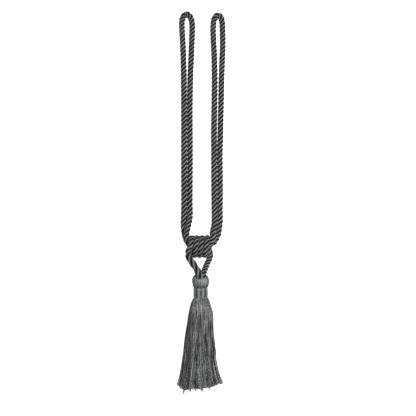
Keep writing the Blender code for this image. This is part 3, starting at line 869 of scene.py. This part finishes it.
# How far locks and yarns wave across, lift and lean. A pace is how often down the skirt.
LOCK_WAVE = 0.0080
LOCK_WAVE_PACE = 3.0
LOCK_LIFT = 0.0040
LOCK_LIFT_PACE = 4.0
LOCK_LEAN = 0.0066
YARN_WAVE = 0.0058
YARN_WAVE_PACE = 4.0
YARN_LIFT_PACE = 5.0
YARN_LEAN = 0.0030
LANE_SPACING = 7.31
LEAN_BEND = 1.3
STRAY_SHARE = 0.05
STRAY_LEAN = 0.006
STRAY_LEVEL = 1.04

# Hem: its line, the yarns that reach past it, and how unevenly the others end.
HEM_HALF = SKIRT_STATIONS[-1][HALF_WIDTH]
HEM_TO_TOP = 0.0013
HEM_LINE = (
    # place across the hem from 0 at the left to 1 at the right, length
    (0.00, 0.1062), (0.04, 0.1084), (0.09, 0.1104), (0.16, 0.1110), (0.30, 0.1106),
    (0.45, 0.1104), (0.58, 0.1098), (0.75, 0.1082), (0.86, 0.1064), (0.93, 0.1050),
    (1.00, 0.1052),
)
LOOSE_ENDS = (
    # place across the hem, how far the yarns there reach past it
    (0.000, 0.0), (0.144, 0.0), (0.150, 0.0062), (0.162, 0.0062), (0.168, 0.0), (0.288, 0.0),
    (0.294, 0.0042), (0.306, 0.0042), (0.312, 0.0), (0.392, 0.0), (0.398, 0.0048),
    (0.410, 0.0048), (0.416, 0.0), (0.546, 0.0), (0.552, 0.0050), (0.564, 0.0050), (0.570, 0.0),
    (0.710, 0.0), (0.716, 0.0044), (0.728, 0.0044), (0.734, 0.0), (1.000, 0.0),
)
LOOSE_SHARE = 0.7
LOCK_ENDS = (-0.0016, 0.0008)
YARN_ENDS = (-0.0012, 0.0006)

# Tones, which spread wider towards the hem.
SKIRT_TONE = 0.24
YARN_TONES = (-0.85, 0.85)
LOCK_TONES = (-0.55, 0.55)
TOP_SPREAD = 0.4
HEM_SPREAD = 0.6
TONE_PATCH_SCALE = 150.0
TONE_PATCH_STRETCH = 0.35
TONE_PATCH_SPAN = (0.35, 0.65)
TONE_PATCHES = (-0.22, 0.22)
SKIRT_DARK = (0.003, 0.0031, 0.0033)
SKIRT_BRIGHT = (0.33, 0.332, 0.337)
SKIRT_ROUGHNESS = 0.36


def blend(tree, factor, a, b):
    """A value between a and b."""
    return add(tree, "ShaderNodeMix", {0: factor, 2: a, 3: b}, data_type="FLOAT")


def waver(tree, number, along, pace, seed):
    """A smooth random value from -0.5 to 0.5 along a yarn, different for each number."""
    lane = calc(tree, "MULTIPLY_ADD", number, LANE_SPACING, float(seed))
    place = joined(tree, lane, calc(tree, "MULTIPLY", along, pace))
    return calc(tree, "SUBTRACT", noise(tree, place, 1.0, detail=1.0, noise_dimensions="2D"), 0.5)


def flat_width(tree, level):
    """Share of the half width that the flat skirt has at a level from 0 to 1."""
    narrowing = calc(tree, "MULTIPLY", calc(tree, "POWER", level, 2.0), TOP_NARROWING)
    return calc(tree, "SQRT", calc(tree, "SUBTRACT", 1.0, narrowing))


def rounded(tree, value):
    """Share that a square's side is drawn in by, at a height on it from -1 to 1, to a circle."""
    drawn_in = calc(tree, "MULTIPLY", calc(tree, "MULTIPLY", value, value), 0.5)
    return calc(tree, "SQRT", calc(tree, "SUBTRACT", 1.0, drawn_in))


def centred(tree, share):
    """A place from -1 to 1, from a share from 0 to 1."""
    return calc(tree, "MULTIPLY_ADD", share, 2.0, -1.0)


def kept_within(tree, value):
    """A value held between -1 and 1."""
    return calc(tree, "MAXIMUM", calc(tree, "MINIMUM", value, 1.0), -1.0)


def calmed(tree, wave, side):
    """A wave that dies out towards both edges of the skirt."""
    return calc(tree, "MULTIPLY", wave, calc(tree, "SUBTRACT", 1.0, at_edge(tree, side)))


skirt_tree, given = start_tree("skirt of yarns", {
    "Yarns": "Int", "Points": "Int", "Yarn radius": "Float", "Lock pull": "Float",
    "Lock wave": "Float", "Lock lean": "Float", "Lock lift": "Float", "Yarn wave": "Float",
    "Yarn lean": "Float", "Stray share": "Float", "Stray lean": "Float",
    "Material": "Material",
})
t = skirt_tree
line = add(t, "GeometryNodeCurvePrimitiveLine", {"Start": (0.0, 0.0, 0.0), "End": (0.0, -1.0, 0.0)})
line = add(t, "GeometryNodeResampleCurve", {"Curve": line, "Count": given["Points"]}, mode="COUNT")
yarns = add(t, "GeometryNodeInstanceOnPoints", {
    "Points": add(t, "GeometryNodePoints", {"Count": given["Yarns"]}), "Instance": line})
yarns = add(t, "GeometryNodeRealizeInstances", {"Geometry": yarns})
number = add(t, "GeometryNodeCurveOfPoint")
# Each yarn bends at its own places, so that no bend runs straight across the skirt.
down = calc(
    t, "POWER", add(t, "GeometryNodeSplineParameter"), chance(t, number, 81, *BEND_SHIFTS))
yarns, down = capture(t, yarns, down)
root_down = calc(t, "SQRT", down)

# Where each yarn starts at the neck, and the lock that it is drawn to on its way down.
across = chance(t, number, 11)
level = chance(t, number, 12)
row = calc(t, "FLOOR", calc(t, "MULTIPLY", level, LOCK_ROWS))
shift = calc(t, "MULTIPLY", row, ROW_SHIFT)
column = calc(t, "FLOOR", calc(t, "MULTIPLY_ADD", across, LOCK_COLUMNS, shift))
lock = calc(t, "MULTIPLY_ADD", row, ROW_NUMBERS, column)
lock_across = calc(t, "SUBTRACT", calc(t, "ADD", column, chance(t, lock, 21, *CELL_PLACES)), shift)
lock_across = calc(t, "DIVIDE", lock_across, LOCK_COLUMNS)
lock_level = calc(t, "DIVIDE", calc(t, "ADD", row, chance(t, lock, 22, *CELL_PLACES)), LOCK_ROWS)
is_stray = calc(t, "LESS_THAN", chance(t, number, 41), given["Stray share"])
pull = calc(t, "MULTIPLY", calc(t, "POWER", down, PULL_BEND), given["Lock pull"])
level_now = blend(t, pull, level, lock_level)
level_now = blend(t, calc(t, "MULTIPLY", is_stray, root_down), level_now, STRAY_LEVEL)

# Across: locks and yarns lean over each other, and strays fan out more than the rest.
lean = calc(
    t, "ADD", calc(t, "MULTIPLY", chance(t, number, 42, -1.0, 1.0), given["Yarn lean"]),
    calc(t, "MULTIPLY", chance(t, lock, 43, -1.0, 1.0), given["Lock lean"]))
stray_lean = calc(t, "ADD", centred(t, across), chance(t, number, 44, -0.5, 0.5))
lean = blend(t, is_stray, lean, calc(t, "MULTIPLY", stray_lean, given["Stray lean"]))
half = table_curve(t, down, SKIRT_STATIONS, HALF_WIDTH)
lean_now = calc(t, "DIVIDE", calc(t, "MULTIPLY", lean, calc(t, "POWER", down, LEAN_BEND)), half)
side = centred(t, blend(t, pull, across, lock_across))
side = kept_within(t, calc(t, "ADD", side, lean_now))
rise = centred(t, level_now)
roundness = table_curve(t, down, SKIRT_STATIONS, ROUNDNESS)
width = blend(t, roundness, flat_width(t, level_now), rounded(t, rise))
middle = calc(t, "ADD", table_curve(t, down, SKIRT_STATIONS, MIDDLE), TASSEL_X)
x = calc(t, "MULTIPLY_ADD", calc(t, "MULTIPLY", half, width), side, middle)
lock_wave = calc(t, "MULTIPLY", down, given["Lock wave"])
lock_wave = calc(t, "MULTIPLY", waver(t, lock, down, LOCK_WAVE_PACE, 31), lock_wave)
own_wave = calc(t, "MULTIPLY", root_down, given["Yarn wave"])
own_wave = calc(t, "MULTIPLY", waver(t, number, down, YARN_WAVE_PACE, 32), own_wave)
x = calc(t, "ADD", calmed(t, calc(t, "ADD", lock_wave, own_wave), side), x)

# Height above the surface, which no yarn goes below.
rise = calc(t, "MULTIPLY", rise, blend(t, roundness, 1.0, rounded(t, side)))
z = calc(
    t, "MULTIPLY_ADD", table_curve(t, down, SKIRT_STATIONS, HEIGHT),
    calc(t, "MULTIPLY_ADD", rise, 0.5, 0.5), table_curve(t, down, SKIRT_STATIONS, LOWEST))
lift = calc(
    t, "ADD", calc(t, "MULTIPLY", waver(t, number, down, YARN_LIFT_PACE, 33), given["Yarn wave"]),
    calc(t, "MULTIPLY", waver(t, lock, down, LOCK_LIFT_PACE, 34), given["Lock lift"]))
z = calc(t, "MULTIPLY_ADD", lift, root_down, z)
thickness = calc(t, "MULTIPLY", given["Yarn radius"], chance(t, number, 61, *YARN_SIZES))
z = calc(t, "MAXIMUM", z, thickness)

# Length, from where the yarn's end comes to lie across the hem.
end_level = blend(t, given["Lock pull"], level, lock_level)
end_side = centred(t, blend(t, given["Lock pull"], across, lock_across))
end_side = kept_within(t, calc(t, "ADD", end_side, calc(t, "DIVIDE", lean, HEM_HALF)))
end_wave = calc(
    t, "ADD", calc(t, "MULTIPLY", waver(t, lock, 1.0, LOCK_WAVE_PACE, 31), given["Lock wave"]),
    calc(t, "MULTIPLY", waver(t, number, 1.0, YARN_WAVE_PACE, 32), given["Yarn wave"]))
end_place = calc(t, "MULTIPLY", end_side, flat_width(t, end_level))
end_place = calc(t, "MULTIPLY_ADD", end_place, 0.5, 0.5)
end_place = calc(t, "MULTIPLY_ADD", calmed(t, end_wave, end_side), 0.5 / HEM_HALF, end_place)
length = table_curve(t, end_place, HEM_LINE, 1)
is_loose = calc(t, "LESS_THAN", chance(t, number, 53), LOOSE_SHARE)
loose_length = table_curve(t, end_place, LOOSE_ENDS, 1, "VECTOR")
length = calc(t, "MULTIPLY_ADD", loose_length, is_loose, length)
length = calc(t, "ADD", length, chance(t, lock, 51, *LOCK_ENDS))
length = calc(t, "ADD", length, chance(t, number, 52, *YARN_ENDS))
length = calc(t, "ADD", length, HEM_TO_TOP)
y = calc(t, "SUBTRACT", HEAD_TOP_Y - SKIRT_TOP, calc(t, "MULTIPLY", down, length))
yarns = add(t, "GeometryNodeSetPosition", {"Geometry": yarns, "Position": joined(t, x, y, z)})

# Tone: of the yarn, of its lock and in patches, at random, and painted shade at both sides of the
# skirt.
spread = calc(t, "ADD", chance(t, number, 71, *YARN_TONES), chance(t, lock, 72, *LOCK_TONES))
widening = calc(t, "MULTIPLY_ADD", down, HEM_SPREAD, TOP_SPREAD)
tone = calc(t, "MULTIPLY_ADD", spread, widening, SKIRT_TONE)
patches = noise(t, joined(t, x, calc(t, "MULTIPLY", y, TONE_PATCH_STRETCH)), TONE_PATCH_SCALE)
tone = calc(t, "ADD", tone, ranged(t, patches, *TONE_PATCH_SPAN, *TONE_PATCHES))
# Painted shade at both sides of the skirt.
tone = calc(t, "MULTIPLY_ADD", at_edge(t, side), PAINTED_SIDE_SHADE, tone)
tone = calc(t, "MAXIMUM", tone, 0.0)
spin(t, yarns, thickness, tone, SKIRT_YARN_SIDES, given["Material"])

tassel_skirt = grow("tassel_skirt_yarns", skirt_tree, {
    "Yarns": SKIRT_YARNS, "Points": SKIRT_POINTS, "Yarn radius": SKIRT_YARN_RADIUS,
    "Lock pull": LOCK_PULL, "Lock wave": LOCK_WAVE, "Lock lean": LOCK_LEAN,
    "Lock lift": LOCK_LIFT, "Yarn wave": YARN_WAVE, "Yarn lean": YARN_LEAN,
    "Stray share": STRAY_SHARE, "Stray lean": STRAY_LEAN,
    "Material": satin_yarn("skirt satin yarn", SKIRT_DARK, SKIRT_BRIGHT, SKIRT_ROUGHNESS),
})
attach(tassel_skirt, "root")
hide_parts("tassel")

for helper in (section, ring_guide, cord_guide, meridian_guide):
    bpy.data.objects.remove(helper)

# ---- The studio: a white table, a bright even sky and one large soft light from the upper
# right, as over a product laid out for its picture.
FLOOR_SIZE = 6.0
FLOOR_DROP = 0.0001
FLOOR_CORNERS = ((-1, -1), (1, -1), (1, 1), (-1, 1))
PAPER_WHITE = 0.85
PAPER_ROUGHNESS = 0.9
PAPER_SPECULAR = 0.1
SKY_STRENGTH = 0.07
LIGHT_POWER = 23.0
LIGHT_SIZE = 0.18
LIGHT_PLACE = (0.36, 0.0, 1.08)
LIGHT_AIM = (0.0, -0.03, 0.0)

floor_mesh = bpy.data.meshes.new("floor")
floor_mesh.from_pydata(
    [(x * FLOOR_SIZE / 2, y * FLOOR_SIZE / 2, -FLOOR_DROP) for x, y in FLOOR_CORNERS],
    [], [(0, 1, 2, 3)])
floor = bpy.data.objects.new("floor", floor_mesh)
bpy.context.collection.objects.link(floor)
# To the camera the paper and the sky are plain white. The tie is lit by the lamp, by what
# the paper reflects, and dimly by the sky.
paper, paper_tree, paper_shader = start_material("white paper")
sheet = paper_shader.inputs
sheet["Base Color"].default_value = (PAPER_WHITE, PAPER_WHITE, PAPER_WHITE, 1.0)
sheet["Roughness"].default_value = PAPER_ROUGHNESS
sheet["Specular IOR Level"].default_value = PAPER_SPECULAR
sheet["Emission Color"].default_value = (1.0, 1.0, 1.0, 1.0)
seen = add(paper_tree, "ShaderNodeLightPath", out="Is Camera Ray")
paper_tree.links.new(seen, sheet["Emission Strength"])
floor_mesh.materials.append(paper)

sky = bpy.data.worlds.new("studio sky")
sky.use_nodes = True
dome = sky.node_tree.nodes["Background"].inputs
dome["Color"].default_value = (1.0, 1.0, 1.0, 1.0)
seen = add(sky.node_tree, "ShaderNodeLightPath", out="Is Camera Ray")
sky.node_tree.links.new(
    calc(sky.node_tree, "MULTIPLY_ADD", seen, 1 - SKY_STRENGTH, SKY_STRENGTH), dome["Strength"])
bpy.context.scene.world = sky

key = bpy.data.objects.new("key light", bpy.data.lights.new("key light", "AREA"))
key.data.energy = LIGHT_POWER
key.data.size = LIGHT_SIZE
key.location = LIGHT_PLACE
key.rotation_euler = (Vector(LIGHT_AIM) - key.location).to_track_quat("-Z", "Y").to_euler()
bpy.context.collection.objects.link(key)

bpy.context.scene.view_settings.view_transform = "Standard"
